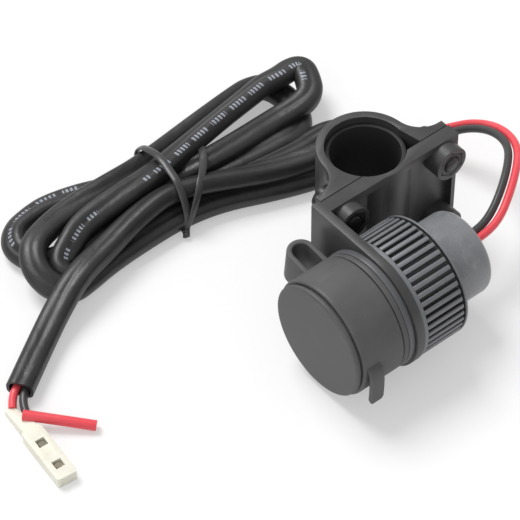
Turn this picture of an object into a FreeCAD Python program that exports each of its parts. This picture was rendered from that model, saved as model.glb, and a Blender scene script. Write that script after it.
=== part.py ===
import FreeCAD, Part
import math
import os

# A capped dual USB socket on a handlebar clamp, with its sleeved lead tied in a hank.
# Millimetres. The clamp's bore runs along Z through the origin, and Z = 0 is the table.
# The socket's axis runs along Y, with the cap towards -Y.

V = FreeCAD.Vector

# Clamp
bore_r = 12.7
liner_bore_r = 11.1
liner_recess = 2.4
liner_slit = 1.6
liner_slit_turn = -38.6
clamp_h = 40.8
strap_wall = 2.5
strap_fillet_r = 9.0
split_x = 9.1
split_gap = 0.3
flange_half = 25.2
flange_t = 2.4
relief_start_x = 1.4
relief_depth = 1.6

# Bracket leg
web_t = 2.2
band_out = 4.7
band_t = 3.0
end_wall_t = 1.6
bore_wall = 1.6
leg_over = 0.5

# Clamp screws and nuts
screw_r = 2.5
screw_edge = 5.7
screw_inset = 6.4
screw_seat = 3.0
screw_head_r = 4.3
screw_head_h = 3.4
screw_key = 4.0
screw_key_depth = 2.0
screw_proud = 0.5
boss_r = 5.8
boss_out = 8.9
nut_flats = 8.0
nut_h = 4.0

# Side plate and ring
plate_t = 3.0
plate_overhang = 0.7
socket_x = 37.0
ring_wall = 5.5

# Socket body
barrel_wall = 2.0
barrel_rear_y = -7.0
spigot_len = 4.0
spigot_root = 2.0
body_flange_step = 0.9
body_flange_t = 2.2
head_step = 2.1
head_wall = 1.8
head_len = 16.6
face_recess = 5.2

# Ring nut
nut_step = 0.3
nut_len = 17.2
nut_ribs = 46
rib_depth = 0.9
rib_gap = 1.0
rib_front_margin = 1.6
rim_t = 0.7
rim_gap = 0.8
nut_sleeve_t = 1.8
nut_skirt_t = 1.8
nut_hollow_depth = 10.0

# Rubber cap, its ring and its strap
cap_step = 0.2
cap_front_t = 2.6
cap_disc_step = 0.8
cap_disc_t = 1.5
cap_groove_w = 0.6
cap_groove_depth = 0.7
cap_edge_r = 0.9
cap_lip_t = 1.4
cap_lip_len = 2.6
cap_ring_t = 1.9
tab_w = 6.0
tab_t = 1.9
tab_drop = 15.4
tab_rise = 1.0
tab_back = 6.4
tab_corner_r = 2.2
loop_angle = 174.0
loop_w = 9.0
loop_t = 1.8
loop_leg = 4.6
loop_front_inset = 9.2

# Ports, board and what is on it
face_t = 2.4
port_pitch = 9.4
shell_w = 13.1
shell_h = 5.8
shell_t = 0.3
shell_len = 14.0
tongue_w = 11.1
tongue_t = 1.9
tongue_len = 8.8
tongue_offset = 1.0
insulator_len = 4.0
contact_w = 1.0
contact_t = 0.25
contact_len = 7.0
contact_pitch = 2.3
board_t = 1.6
board_rear_gap = 0.5
inductor_r = 4.2
inductor_h = 5.0
inductor_back = 10.0
capacitor_r = 3.0
capacitor_room = 5.4
capacitor_x = 5.2
capacitor_back = 11.7
chip_size = 5.0
chip_h = 1.5
chip_back = 4.5

# Rear cover and grommet
cover_step = 0.9
cover_wall = 1.5
cover_end_t = 2.0
cover_len = 15.0
cover_edge_r = 2.6
grommet_w = 9.0
grommet_h = 6.0
grommet_lip = 1.2
grommet_neck = 1.0
exit_z_up = 1.6
lead_board_back = 4.0

# Wires, sleeve, hank and tie
wire_r = 1.3
wire_pair = 2.8
sleeve_r = 3.5
hank_h = 13.2
hank_side_r = 8.0
hank_edge_r = 4.0
tie_y = -41.0
tie_w = 3.0
tie_t = 1.1

# Connector on the end of the lead
connector_len = 32.0
connector_w = 6.6
connector_h = 3.8
connector_turn = -5.0
connector_neck_len = 11.0
connector_neck_w = 5.0
connector_slot = 3.0
connector_edge_r = 0.9
contact_post_r = 1.1
contact_post_h = 1.2
black_entry = 3.4
pigtail_r = 1.65
pigtail_len = 20.0
pigtail_turn = 44.0
pigtail_place = 0.72
contact_shares = (0.3, 0.75)

# Share of a route's shorter run that each of its arcs takes up
arc_share = 0.45

# Clearances
fit_gap = 0.1
slide_gap = 0.3

# Places that follow from the sizes above
socket_z = clamp_h / 2
ring_r = clamp_h / 2
barrel_r = ring_r - ring_wall
nut_r = ring_r - nut_step
nut_hollow_inner_r = barrel_r + nut_sleeve_t
nut_hollow_outer_r = nut_r - nut_skirt_t
body_flange_r = ring_r - body_flange_step
head_r = barrel_r + head_step
cap_r = body_flange_r - cap_step
cap_disc_r = cap_r - cap_disc_step
cover_r = barrel_r - cover_step
plate_rear_y = -flange_half - split_gap
plate_front_y = plate_rear_y - plate_t
flange_front_y = plate_front_y - body_flange_t
head_front_y = flange_front_y - head_len
face_front_y = head_front_y + face_recess
face_rear_y = face_front_y + face_t
cap_ring_front_y = flange_front_y - cap_ring_t
cap_back_y = cap_ring_front_y - slide_gap
cap_inner_y = head_front_y - slide_gap
cap_front_y = cap_inner_y - cap_front_t
cap_bore_r = head_r + slide_gap
barrel_bore_r = barrel_r - barrel_wall
capacitor_h = barrel_bore_r - capacitor_room
cover_rear_y = barrel_rear_y + cover_len
cover_bore_r = cover_r - cover_wall
root_y = barrel_rear_y - spigot_root
board_rear_y = root_y - board_rear_gap
exit_z = socket_z + exit_z_up
grommet_rear_y = cover_rear_y + grommet_lip
leg_end = flange_half + leg_over
screw_y = flange_half - screw_edge
screw_zs = (screw_inset, clamp_h - screw_inset)
screw_ys = (-screw_y, screw_y)
seat_x = split_x - screw_seat
boss_x = split_x + boss_out
nut_seat_x = boss_x - nut_h - fit_gap

# Routes of the two wires, the first run straight out of the grommet
wire_mid_x = 36.5
red_route = [
    (wire_mid_x + wire_pair / 2, grommet_rear_y, exit_z),
    (wire_mid_x + wire_pair / 2, 16.2, exit_z),
    (36.2, 23.8, 22.8),
    (31.0, 32.8, 24.2),
    (24.6, 41.5, 24.6),
    (18.6, 47.5, 24.0),
    (11.2, 50.7, 22.4),
    (3.2, 51.4, 19.8),
    (-4.5, 49.4, 16.2),
    (-10.2, 46.2, 12.0),
    (-16.0, 41.6, 8.0),
    (-21.2, 36.4, 5.0),
    (-25.6, 30.2, 4.0),
]
black_route = [
    (wire_mid_x - wire_pair / 2, grommet_rear_y, exit_z),
    (wire_mid_x - wire_pair / 2, 15.6, exit_z),
    (33.3, 22.6, 22.8),
    (28.4, 31.4, 24.2),
    (22.4, 39.6, 24.6),
    (16.9, 45.1, 24.0),
    (10.5, 47.9, 22.4),
    (3.5, 48.6, 19.8),
    (-3.4, 46.8, 16.2),
    (-8.5, 43.9, 12.0),
    (-13.9, 39.7, 8.0),
    (-18.9, 34.7, 5.0),
    (-23.2, 28.6, 4.0),
]

# Routes of the sleeve outside the hank: from the wires to the hank, and from the hank to its mouth
lead_route = [(-24.4, 29.4, 3.9), (-27.6, 24.4, 3.6), (-32.4, 20.6, 3.6)]
tail_route = [(-36.6, -83.6, 6.2), (-26.4, -103.0, 3.7), (-15.4, -121.5, 3.5)]

# Where the connector's neck begins
connector_start = V(-12.6, -126.4, 0)

# The hank's outline, before its sides are rounded outwards
hank_corners = [
    (-68, -73), (-65, -83), (-60, -87.5), (-46, -89), (-43, -86), (-43.5, -45), (-38, -18), (-30.5, 0),
    (-30, 7), (-34, 13), (-52, 18.5), (-60, 25.5), (-65.5, 27), (-65.5, 20), (-60, -14), (-54.5, -41),
    (-61.5, -58),
]


def box(x0, x1, y0, y1, z0, z1):
    return Part.makeBox(x1 - x0, y1 - y0, z1 - z0, V(x0, y0, z0))


def rod_x(r, x0, x1, y, z):
    return Part.makeCylinder(r, x1 - x0, V(x0, y, z), V(1, 0, 0))


def rod_y(r, y0, y1, x=socket_x, z=socket_z):
    return Part.makeCylinder(r, y1 - y0, V(x, y0, z), V(0, 1, 0))


def rod_z(r, z0, z1, x=0, y=0):
    return Part.makeCylinder(r, z1 - z0, V(x, y, z0))


def prism_z(points, z0, z1):
    wire = Part.makePolygon([V(x, y, z0) for x, y in points + points[:1]])
    return Part.Face(wire).extrude(V(0, 0, z1 - z0))


def turned(profile):
    """Turn a list of (radius, y) about the socket's axis."""
    wire = Part.makePolygon([V(r, y, 0) for r, y in profile + profile[:1]])
    solid = Part.Face(wire).revolve(V(0, 0, 0), V(0, 1, 0), 360)
    solid.translate(V(socket_x, 0, socket_z))
    return solid


def hexagon_x(flats, x0, x1, y, z):
    """A hexagonal prism along X with a corner at its top."""
    corner = flats / math.sqrt(3)
    points = []
    for k in range(7):
        turn = math.radians(90 + 60 * k)
        points.append(V(x0, y + corner * math.cos(turn), z + corner * math.sin(turn)))
    return Part.Face(Part.makePolygon(points)).extrude(V(x1 - x0, 0, 0))


def each_screw(make):
    return [make(y, z) for y in screw_ys for z in screw_zs]


def tube(route, r):
    """A round tube along straight runs and tangent arcs, each arc as large as its runs allow."""
    points = [V(*p) for p in route]
    edges = []
    start = points[0]
    radii = []
    for before, here, after in zip(points, points[1:], points[2:]):
        to_back = (before - here).normalize()
        to_next = (after - here).normalize()
        shorter = min((before - here).Length, (after - here).Length)
        trim = arc_share * shorter
        half_open = to_back.getAngle(to_next) / 2
        radii.append(trim * math.tan(half_open))
        arc_start = here + to_back * trim
        arc_end = here + to_next * trim
        bisector = (to_back + to_next).normalize()
        centre = here + bisector * (trim / math.cos(half_open))
        arc_mid = centre - bisector * radii[-1]
        edges.append(Part.LineSegment(start, arc_start).toShape())
        edges.append(Part.Arc(arc_start, arc_mid, arc_end).toShape())
        start = arc_end
    edges.append(Part.LineSegment(start, points[-1]).toShape())
    path = Part.Wire(edges)
    circle = Part.Circle(points[0], points[1] - points[0], r)
    solid = path.makePipeShell([Part.Wire(circle.toShape())], True, True)
    print("tube", round(path.Length, 1), "mm long, smallest radius", round(min(radii), 1),
          "volume ratio", round(solid.Volume / (math.pi * r * r * path.Length), 4))
    return solid


def bracket():
    leg_x = split_x + band_out
    web_x = split_x + web_t
    leg = box(split_x, leg_x, plate_front_y, leg_end, 0, clamp_h)
    hollow = box(web_x, leg_x, plate_rear_y, leg_end - end_wall_t, band_t, clamp_h - band_t)
    leg = leg.cut(hollow)
    bulge = rod_z(bore_r + bore_wall, 0, clamp_h)
    bulge = bulge.common(box(split_x, bore_r + bore_wall, -flange_half, flange_half, 0, clamp_h))
    bosses = each_screw(lambda y, z: rod_x(boss_r, split_x, boss_x, y, z))
    arm = box(split_x - plate_overhang, socket_x, plate_front_y, plate_rear_y, 0, clamp_h)
    ring = rod_y(ring_r, plate_front_y, plate_rear_y)
    solid = leg.fuse([bulge, arm, ring] + bosses)
    solid = solid.cut([
        rod_z(bore_r, 0, clamp_h),
        rod_y(barrel_r + fit_gap, plate_front_y, plate_rear_y),
    ])
    solid = solid.cut(each_screw(lambda y, z: rod_x(screw_r + fit_gap, split_x, boss_x, y, z)))
    pocket = nut_flats + 2 * fit_gap
    solid = solid.cut(each_screw(lambda y, z: hexagon_x(pocket, nut_seat_x, boss_x, y, z)))
    return solid.removeSplitter()


def clamp_strap():
    outer_r = bore_r + strap_wall
    face_x = split_x - split_gap
    back_x = face_x - flange_t
    cx = back_x - strap_fillet_r
    cy = math.sqrt((outer_r + strap_fillet_r) ** 2 - cx ** 2)
    far_y = cy + strap_fillet_r
    shell = rod_z(outer_r, 0, clamp_h)
    pieces = [shell]
    for side in (-1, 1):
        flange = prism_z([(0, 0), (face_x, 0), (face_x, side * far_y), (cx, side * far_y),
                          (cx, side * cy)], 0, clamp_h)
        hollow = rod_z(strap_fillet_r, 0, clamp_h, cx, side * cy)
        past = box(cx, back_x, min(side * cy, side * far_y), max(side * cy, side * far_y), 0, clamp_h)
        near = box(-outer_r, cx, -far_y, far_y, 0, clamp_h)
        pieces.append(flange.cut([hollow, past, near]))
    solid = pieces[0].fuse(pieces[1:])
    solid = solid.common(box(-outer_r, face_x, -flange_half, flange_half, 0, clamp_h))
    relief = prism_z([(relief_start_x, 0), (relief_start_x, bore_r),
                      (face_x, bore_r + relief_depth), (face_x, 0)], 0, clamp_h)
    solid = solid.cut([rod_z(bore_r, 0, clamp_h), relief])
    solid = solid.cut(each_screw(lambda y, z: rod_x(screw_r + fit_gap, -outer_r, face_x, y, z)))
    head_pocket_r = screw_head_r + fit_gap
    solid = solid.cut(each_screw(lambda y, z: rod_x(head_pocket_r, -outer_r, seat_x, y, z)))
    return solid.removeSplitter()


def reducer_liner():
    z1 = clamp_h - liner_recess
    ring = rod_z(bore_r - fit_gap, 0, z1).cut(rod_z(liner_bore_r, 0, z1))
    slit = box(0, bore_r, -liner_slit / 2, liner_slit / 2, 0, z1)
    slit.rotate(V(0, 0, 0), V(0, 0, 1), liner_slit_turn)
    return ring.cut(slit)


def one_screw(y, z):
    end_x = nut_seat_x + nut_h + screw_proud
    head = rod_x(screw_head_r, seat_x - screw_head_h, seat_x, y, z)
    key = hexagon_x(screw_key, seat_x - screw_head_h, seat_x - screw_head_h + screw_key_depth, y, z)
    return head.fuse(rod_x(screw_r, seat_x, end_x, y, z)).cut(key).removeSplitter()


def one_nut(y, z):
    nut = hexagon_x(nut_flats, nut_seat_x, nut_seat_x + nut_h, y, z)
    return nut.cut(rod_x(screw_r + fit_gap, nut_seat_x, nut_seat_x + nut_h, y, z))


def socket_body():
    head_bore_r = head_r - head_wall
    spigot_r = cover_bore_r - fit_gap
    spigot_bore_r = spigot_r - cover_wall
    return turned([
        (head_r, head_front_y), (head_r, flange_front_y), (body_flange_r, flange_front_y),
        (body_flange_r, plate_front_y), (barrel_r, plate_front_y), (barrel_r, barrel_rear_y),
        (spigot_r, barrel_rear_y), (spigot_r, barrel_rear_y + spigot_len),
        (spigot_bore_r, barrel_rear_y + spigot_len), (spigot_bore_r, root_y),
        (barrel_bore_r, root_y), (barrel_bore_r, face_rear_y),
        (head_bore_r, face_rear_y), (head_bore_r, head_front_y),
    ])


def ring_nut():
    y0 = plate_rear_y
    y1 = y0 + nut_len
    rib_end = y1 - rim_t - rim_gap
    floor_r = nut_r - rib_depth
    solid = turned([
        (barrel_r + fit_gap, y0), (nut_r, y0), (nut_r, rib_end), (floor_r, rib_end),
        (floor_r, y1 - rim_t), (nut_r, y1 - rim_t), (nut_r, y1),
        (nut_hollow_outer_r, y1), (nut_hollow_outer_r, y1 - nut_hollow_depth),
        (nut_hollow_inner_r, y1 - nut_hollow_depth), (nut_hollow_inner_r, y1),
        (barrel_r + fit_gap, y1),
    ])
    cutters = []
    for k in range(nut_ribs):
        cutter = box(socket_x - rib_gap / 2, socket_x + rib_gap / 2, y0 + rib_front_margin, rib_end,
                     socket_z + floor_r, socket_z + nut_r + rib_depth)
        cutter.rotate(V(socket_x, 0, socket_z), V(0, 1, 0), 360 * k / nut_ribs)
        cutters.append(cutter)
    return solid.cut(cutters)


def cap():
    disc_y = cap_front_y + cap_disc_t
    skirt_y = disc_y + cap_groove_w
    groove_r = cap_disc_r - cap_groove_depth
    lip_r = head_r - head_wall - slide_gap
    solid = turned([
        (0, cap_front_y), (cap_disc_r - cap_edge_r, cap_front_y), (cap_disc_r, cap_front_y + cap_edge_r),
        (cap_disc_r, disc_y), (groove_r, disc_y), (groove_r, skirt_y), (cap_r - cap_edge_r, skirt_y),
        (cap_r, skirt_y + cap_edge_r), (cap_r, cap_back_y), (cap_bore_r, cap_back_y),
        (cap_bore_r, cap_inner_y), (lip_r, cap_inner_y), (lip_r, cap_inner_y + cap_lip_len),
        (lip_r - cap_lip_t, cap_inner_y + cap_lip_len), (lip_r - cap_lip_t, cap_inner_y), (0, cap_inner_y),
    ])
    tab_y = cap_front_y + tab_back - tab_w / 2
    tab_x = socket_x + cap_r - tab_t / 2
    tab = box(tab_x, tab_x + tab_t, tab_y, tab_y + tab_w, socket_z - tab_drop, socket_z + tab_rise)
    tip = [e for e in tab.Edges if abs(e.CenterOfMass.z - (socket_z - tab_drop)) < fit_gap
           and abs(e.CenterOfMass.x - tab_x - tab_t / 2) < fit_gap]
    tab = tab.makeFillet(tab_corner_r, tip)
    return solid.fuse(tab).removeSplitter()


def cap_ring():
    return turned([(cap_bore_r, cap_ring_front_y), (cap_r, cap_ring_front_y),
                   (cap_r, flange_front_y), (cap_bore_r, flange_front_y)])


def cap_strap():
    """A U-shaped band that stands out from the cap's side and comes back to the cap's ring."""
    front_y = cap_front_y + loop_front_inset
    back_y = cap_ring_front_y + cap_ring_t / 2
    bend = (back_y - front_y) / 2
    mid_y = (front_y + back_y) / 2
    top = cap_r + loop_leg

    def outline(grow):
        """The U's outline in (radius, y), widened by grow on each side."""
        r = bend + grow
        side = Part.makePolygon([V(top, mid_y - r, 0), V(0, mid_y - r, 0), V(0, mid_y + r, 0),
                                 V(top, mid_y + r, 0)])
        arc = Part.Arc(V(top, mid_y + r, 0), V(top + r, mid_y, 0), V(top, mid_y - r, 0)).toShape()
        return Part.Face(Part.Wire(side.Edges + [arc]))

    band = outline(loop_t / 2).cut(outline(-loop_t / 2))
    solid = band.extrude(V(0, 0, loop_w))
    solid.translate(V(0, 0, -loop_w / 2))
    solid.rotate(V(0, 0, 0), V(0, 1, 0), -loop_angle)
    solid.translate(V(socket_x, 0, socket_z))
    keep_out = rod_y(cap_r + slide_gap, cap_front_y, plate_front_y)
    return solid.cut(keep_out).Solids[0]


def port_z(side):
    return socket_z + side * port_pitch / 2


def usb_face():
    disc = rod_y(head_r - head_wall - fit_gap, face_front_y, face_rear_y)
    for side in (-1, 1):
        disc = disc.cut(box(socket_x - shell_w / 2 - fit_gap, socket_x + shell_w / 2 + fit_gap,
                            face_front_y, face_rear_y,
                            port_z(side) - shell_h / 2 - fit_gap, port_z(side) + shell_h / 2 + fit_gap))
    return disc


def usb_shell(side):
    z = port_z(side)
    y1 = face_front_y + shell_len
    outer = box(socket_x - shell_w / 2, socket_x + shell_w / 2, face_front_y, y1,
                z - shell_h / 2, z + shell_h / 2)
    inner = box(socket_x - shell_w / 2 + shell_t, socket_x + shell_w / 2 - shell_t, face_front_y, y1,
                z - shell_h / 2 + shell_t, z + shell_h / 2 - shell_t)
    board_z = socket_z + side * board_t / 2
    near_z = z - side * shell_h / 2
    feet = []
    for x in (socket_x - shell_w / 2, socket_x + shell_w / 2 - 2 * shell_t):
        feet.append(box(x, x + 2 * shell_t, face_rear_y + fit_gap, y1,
                        min(board_z, near_z), max(board_z, near_z)))
    return outer.cut(inner).fuse(feet).removeSplitter()


def usb_tongue(side):
    z = port_z(side)
    y1 = face_front_y + shell_len
    half_w = shell_w / 2 - shell_t - fit_gap
    half_h = shell_h / 2 - shell_t - fit_gap
    block = box(socket_x - half_w, socket_x + half_w, y1 - insulator_len, y1, z - half_h, z + half_h)
    tongue_z = z - side * tongue_offset
    tongue = box(socket_x - tongue_w / 2, socket_x + tongue_w / 2, y1 - insulator_len - tongue_len,
                 y1 - insulator_len, tongue_z - tongue_t / 2, tongue_z + tongue_t / 2)
    return block.fuse(tongue).removeSplitter()


def usb_contacts():
    strips = []
    y1 = face_front_y + shell_len - insulator_len
    for side in (-1, 1):
        face_z = port_z(side) - side * tongue_offset + side * tongue_t / 2
        for k in range(4):
            x = socket_x + (k - 1.5) * contact_pitch
            strips.append(box(x - contact_w / 2, x + contact_w / 2, y1 - contact_len, y1,
                              min(face_z, face_z + side * contact_t),
                              max(face_z, face_z + side * contact_t)))
    return Part.makeCompound(strips)


def circuit_board():
    half = math.sqrt((barrel_bore_r - fit_gap) ** 2 - (board_t / 2) ** 2)
    return box(socket_x - half, socket_x + half, face_rear_y, board_rear_y,
               socket_z - board_t / 2, socket_z + board_t / 2)


def power_inductor():
    z = socket_z + board_t / 2
    return rod_z(inductor_r, z, z + inductor_h, socket_x, board_rear_y - inductor_back)


def filter_capacitors():
    z1 = socket_z - board_t / 2
    cans = [rod_z(capacitor_r, z1 - capacitor_h, z1, socket_x + side * capacitor_x,
                  board_rear_y - capacitor_back) for side in (-1, 1)]
    return Part.makeCompound(cans)


def converter_chip():
    z1 = socket_z - board_t / 2
    y = board_rear_y - chip_back
    return box(socket_x - chip_size / 2, socket_x + chip_size / 2, y - chip_size / 2, y + chip_size / 2,
               z1 - chip_h, z1)


def rear_cover():
    solid = turned([(cover_bore_r, barrel_rear_y), (cover_r, barrel_rear_y), (cover_r, cover_rear_y),
                    (0, cover_rear_y), (0, cover_rear_y - cover_end_t),
                    (cover_bore_r, cover_rear_y - cover_end_t)])
    rim = [e for e in solid.Edges if len(e.Vertexes) == 1 and abs(e.CenterOfMass.y - cover_rear_y) < fit_gap]
    solid = solid.makeFillet(cover_edge_r, rim)
    return solid.cut(grommet_block(-grommet_neck + fit_gap, cover_rear_y - cover_end_t, cover_rear_y))


def grommet_block(grow, y0, y1):
    """A flat oval block round the two wires, grown by grow on each side."""
    r = grommet_h / 2 + grow
    half = grommet_w / 2 - grommet_h / 2
    middle = box(wire_mid_x - half, wire_mid_x + half, y0, y1, exit_z - r, exit_z + r)
    ends = [rod_y(r, y0, y1, wire_mid_x + side * half, exit_z) for side in (-1, 1)]
    return middle.fuse(ends).removeSplitter()


def wire_grommet():
    neck = grommet_block(-grommet_neck, cover_rear_y - cover_end_t, cover_rear_y)
    return neck.fuse(grommet_block(0, cover_rear_y, grommet_rear_y)).removeSplitter()


def lead_rod(side):
    """A wire from the grommet down to its pad on the board."""
    x = wire_mid_x + side * wire_pair / 2
    board_z = socket_z + board_t / 2
    start = V(x, cover_rear_y - cover_end_t, exit_z)
    end = V(x, board_rear_y - lead_board_back, board_z + wire_r)
    rod = Part.makeCylinder(wire_r, (end - start).Length, start, end - start)
    high = box(x - 2 * wire_r, x + 2 * wire_r, board_rear_y - 2 * lead_board_back, start.y,
               board_z, exit_z + 2 * wire_r)
    return rod.common(high)


def hank_block(inset):
    """The hank's outer shape, or a smaller copy of it."""
    wire = Part.makePolygon([V(x, y, inset) for x, y in hank_corners + hank_corners[:1]])
    face = Part.Face(wire).makeOffset2D(hank_side_r - inset)
    solid = face.extrude(V(0, 0, hank_h - 2 * inset))
    rims = [e for e in solid.Edges if abs(e.BoundBox.ZLength) < fit_gap]
    return solid.makeFillet(hank_edge_r - inset, rims)


def hank_tie():
    xs = [x for x, y in hank_corners]
    slab = box(min(xs) - hank_side_r, max(xs) + hank_side_r, tie_y - tie_w / 2, tie_y + tie_w / 2, 0, hank_h)
    return hank_block(0).common(slab).cut(hank_block(tie_t))


def sleeve_hank():
    return hank_block(0).cut(hank_tie())


def connector_local():
    """The connector along +X from its neck's end, its middle line on Y = 0, lying on Z = 0."""
    neck = box(0, connector_neck_len, -connector_neck_w / 2, connector_neck_w / 2, 0, connector_h)
    housing = box(connector_neck_len, connector_len, -connector_w / 2, connector_w / 2, 0, connector_h)
    upright = [e for e in housing.Edges if abs(e.BoundBox.ZLength - connector_h) < fit_gap]
    solid = housing.makeFillet(connector_edge_r, upright).fuse(neck).removeSplitter()
    slots = []
    for x in contact_places():
        slots.append(box(x - connector_slot / 2, x + connector_slot / 2, -connector_slot / 2,
                         connector_slot / 2, connector_h / 2, connector_h))
    return solid.cut(slots)


def contact_places():
    room = connector_len - connector_neck_len
    return [connector_neck_len + room * share for share in contact_shares]


def at_connector(shape):
    shape.rotate(V(0, 0, 0), V(0, 0, 1), connector_turn)
    shape.translate(connector_start)
    return shape


def connector_contacts():
    posts = [rod_z(contact_post_r, connector_h / 2, connector_h / 2 + contact_post_h, x, 0)
             for x in contact_places()]
    return at_connector(Part.makeCompound(posts))


def tail_wire(side, along, out):
    """A short wire from the sleeve's mouth to a place on the connector's neck."""
    mouth = V(*tail_route[-1])
    ahead = (mouth - V(*tail_route[-2])).normalize()
    across = V(-ahead.y, ahead.x, 0).normalize()
    start = mouth + across * (side * wire_pair / 2)
    target = at_connector(Part.Vertex(along, out, connector_h / 2)).Point
    reach = target - start
    rod = Part.makeCylinder(wire_r, 2 * reach.Length, start - reach * 0.5, reach)
    sleeve_end = Part.makeCylinder(4 * sleeve_r, 4 * sleeve_r, mouth, ahead * -1)
    rod = rod.cut([sleeve_end, at_connector(connector_local())])
    return min(rod.Solids, key=lambda piece: (piece.CenterOfMass - start).Length)


def red_pigtail():
    place = connector_neck_len * pigtail_place
    rod = Part.makeCylinder(pigtail_r, pigtail_len, V(0, 0, pigtail_r), V(1, 0, 0))
    rod.rotate(V(0, 0, 0), V(0, 0, 1), pigtail_turn)
    rod.translate(V(place, connector_neck_w / 2 - pigtail_r, 0))
    return at_connector(rod.cut(connector_local()).Solids[0])


hank = sleeve_hank()
sleeve_lead = tube(lead_route, sleeve_r).cut(hank)
nodes = {
    "bracket": bracket(),
    "clamp_strap": clamp_strap(),
    "reducer_liner": reducer_liner(),
    "clamp_screws": Part.makeCompound(each_screw(one_screw)),
    "clamp_nuts": Part.makeCompound(each_screw(one_nut)),
    "socket_body": socket_body(),
    "ring_nut": ring_nut(),
    "rear_cover": rear_cover(),
    "wire_grommet": wire_grommet(),
    "cap": cap(),
    "cap_strap": cap_strap(),
    "cap_ring": cap_ring(),
    "usb_face": usb_face(),
    "usb_shell_upper": usb_shell(1),
    "usb_shell_lower": usb_shell(-1),
    "usb_tongue_upper": usb_tongue(1),
    "usb_tongue_lower": usb_tongue(-1),
    "usb_contacts": usb_contacts(),
    "circuit_board": circuit_board(),
    "power_inductor": power_inductor(),
    "filter_capacitors": filter_capacitors(),
    "converter_chip": converter_chip(),
    "red_lead": lead_rod(1),
    "black_lead": lead_rod(-1),
    "red_wire": tube(red_route, wire_r).cut(sleeve_lead),
    "black_wire": tube(black_route, wire_r).cut(sleeve_lead),
    "sleeve_lead": sleeve_lead,
    "sleeve_hank": hank,
    "sleeve_tail": tube(tail_route, sleeve_r).cut(hank),
    "hank_tie": hank_tie(),
    "tail_red_wire": tail_wire(-1, 0, 0),
    "tail_black_wire": tail_wire(1, black_entry, connector_neck_w / 2),
    "connector": at_connector(connector_local()),
    "connector_contacts": connector_contacts(),
    "red_pigtail": red_pigtail(),
}

for name, shape in nodes.items():
    print(name, "solids", len(shape.Solids), "volume", round(shape.Volume, 1), "valid", shape.isValid())
    shape.exportStep("parts/" + name + ".step")
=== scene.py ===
# %% [markdown]
# # A capped USB socket on a handlebar clamp, with its lead
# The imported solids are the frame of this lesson: they say where everything is, in metres, and how the
# cap moves. The script lays the cord, dresses each solid in a softened or rebuilt mesh, and gives every
# surface a procedural finish. Sizes are written in millimetres and multiplied by MM.

# %% Load the frame
import math

import bmesh
import bpy
from mathutils import Matrix, Vector


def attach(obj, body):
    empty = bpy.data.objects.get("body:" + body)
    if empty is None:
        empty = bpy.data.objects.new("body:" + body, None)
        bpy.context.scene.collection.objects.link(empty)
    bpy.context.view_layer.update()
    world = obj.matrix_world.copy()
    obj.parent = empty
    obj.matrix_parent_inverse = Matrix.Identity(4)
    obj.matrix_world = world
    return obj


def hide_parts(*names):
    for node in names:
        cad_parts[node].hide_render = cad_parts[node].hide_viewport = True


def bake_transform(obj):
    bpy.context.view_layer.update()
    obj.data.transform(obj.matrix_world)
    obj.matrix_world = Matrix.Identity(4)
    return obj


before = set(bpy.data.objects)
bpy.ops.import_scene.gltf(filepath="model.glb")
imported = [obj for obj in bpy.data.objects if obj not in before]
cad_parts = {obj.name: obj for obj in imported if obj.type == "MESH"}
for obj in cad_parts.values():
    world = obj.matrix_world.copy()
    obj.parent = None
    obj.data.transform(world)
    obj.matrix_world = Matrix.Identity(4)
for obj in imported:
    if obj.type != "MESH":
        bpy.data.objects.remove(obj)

MM = 0.001
UP = Vector((0, 0, 1))
scene = bpy.context.scene
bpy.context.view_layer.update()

# %% [markdown]
# ## Camera
# The view is from above with a long lens. The camera's three axes are worked out from a turn, a tilt and
# a small roll.

# %% The camera's axes
CAMERA_TURN = math.radians(51.401)
CAMERA_TILT = math.radians(48.062)
CAMERA_ROLL = math.radians(-0.682)
level_right = Vector((math.cos(CAMERA_TURN), math.sin(CAMERA_TURN), 0))
level_away = Vector((-math.sin(CAMERA_TURN), math.cos(CAMERA_TURN), 0))
towards_eye = -level_away * math.cos(CAMERA_TILT) + UP * math.sin(CAMERA_TILT)
level_up = towards_eye.cross(level_right)
eye_right = level_right * math.cos(CAMERA_ROLL) + level_up * math.sin(CAMERA_ROLL)
eye_up = -level_right * math.sin(CAMERA_ROLL) + level_up * math.cos(CAMERA_ROLL)
print("the camera looks along", [round(-x, 3) for x in towards_eye])

# %% Place the camera
CAMERA_AWAY = 760.293 * MM
CAMERA_SLIDE = (32.083 * MM, 34.547 * MM)
CAMERA_AIM = Vector((0, 0, 40.8 * MM))
FOCAL_PIXELS = 2500
PICTURE_PIXELS = 520
SENSOR = 36
FAR_CLIP = 20
eye = CAMERA_AIM + towards_eye * CAMERA_AWAY - eye_right * CAMERA_SLIDE[0] - eye_up * CAMERA_SLIDE[1]
camera_data = bpy.data.cameras.new("camera")
camera_data.sensor_width = SENSOR
camera_data.lens = FOCAL_PIXELS / PICTURE_PIXELS * SENSOR
camera_data.clip_end = FAR_CLIP
camera = bpy.data.objects.new("camera", camera_data)
axes = Matrix((eye_right, eye_up, towards_eye)).transposed().to_4x4()
camera.matrix_world = Matrix.Translation(eye) @ axes
scene.collection.objects.link(camera)
scene.camera = camera
print("camera at", [round(x, 3) for x in eye], "lens", round(camera_data.lens, 1))

# %% [markdown]
# ## Helpers for meshes
# Every finished piece is a plain mesh at the origin that rides on a body of the frame, and one function
# does that for all. Others close and smooth a mesh, skin rings of points, and put meshes into one.

# %% Add a finished piece
def add_piece(name, mesh, material, body="root", stands_for=()):
    piece = bpy.data.objects.new(name, mesh)
    scene.collection.objects.link(piece)
    mesh.materials.clear()
    mesh.materials.append(material)
    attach(piece, body)
    if stands_for:
        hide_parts(*stands_for)
    print(name, len(mesh.polygons), "faces")
    return piece


# %% Smooth and close a mesh
def smooth_mesh(mesh, sharp_degrees):
    for face in mesh.polygons:
        face.use_smooth = True
    mesh.set_sharp_from_angle(angle=math.radians(sharp_degrees))
    return mesh


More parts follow.
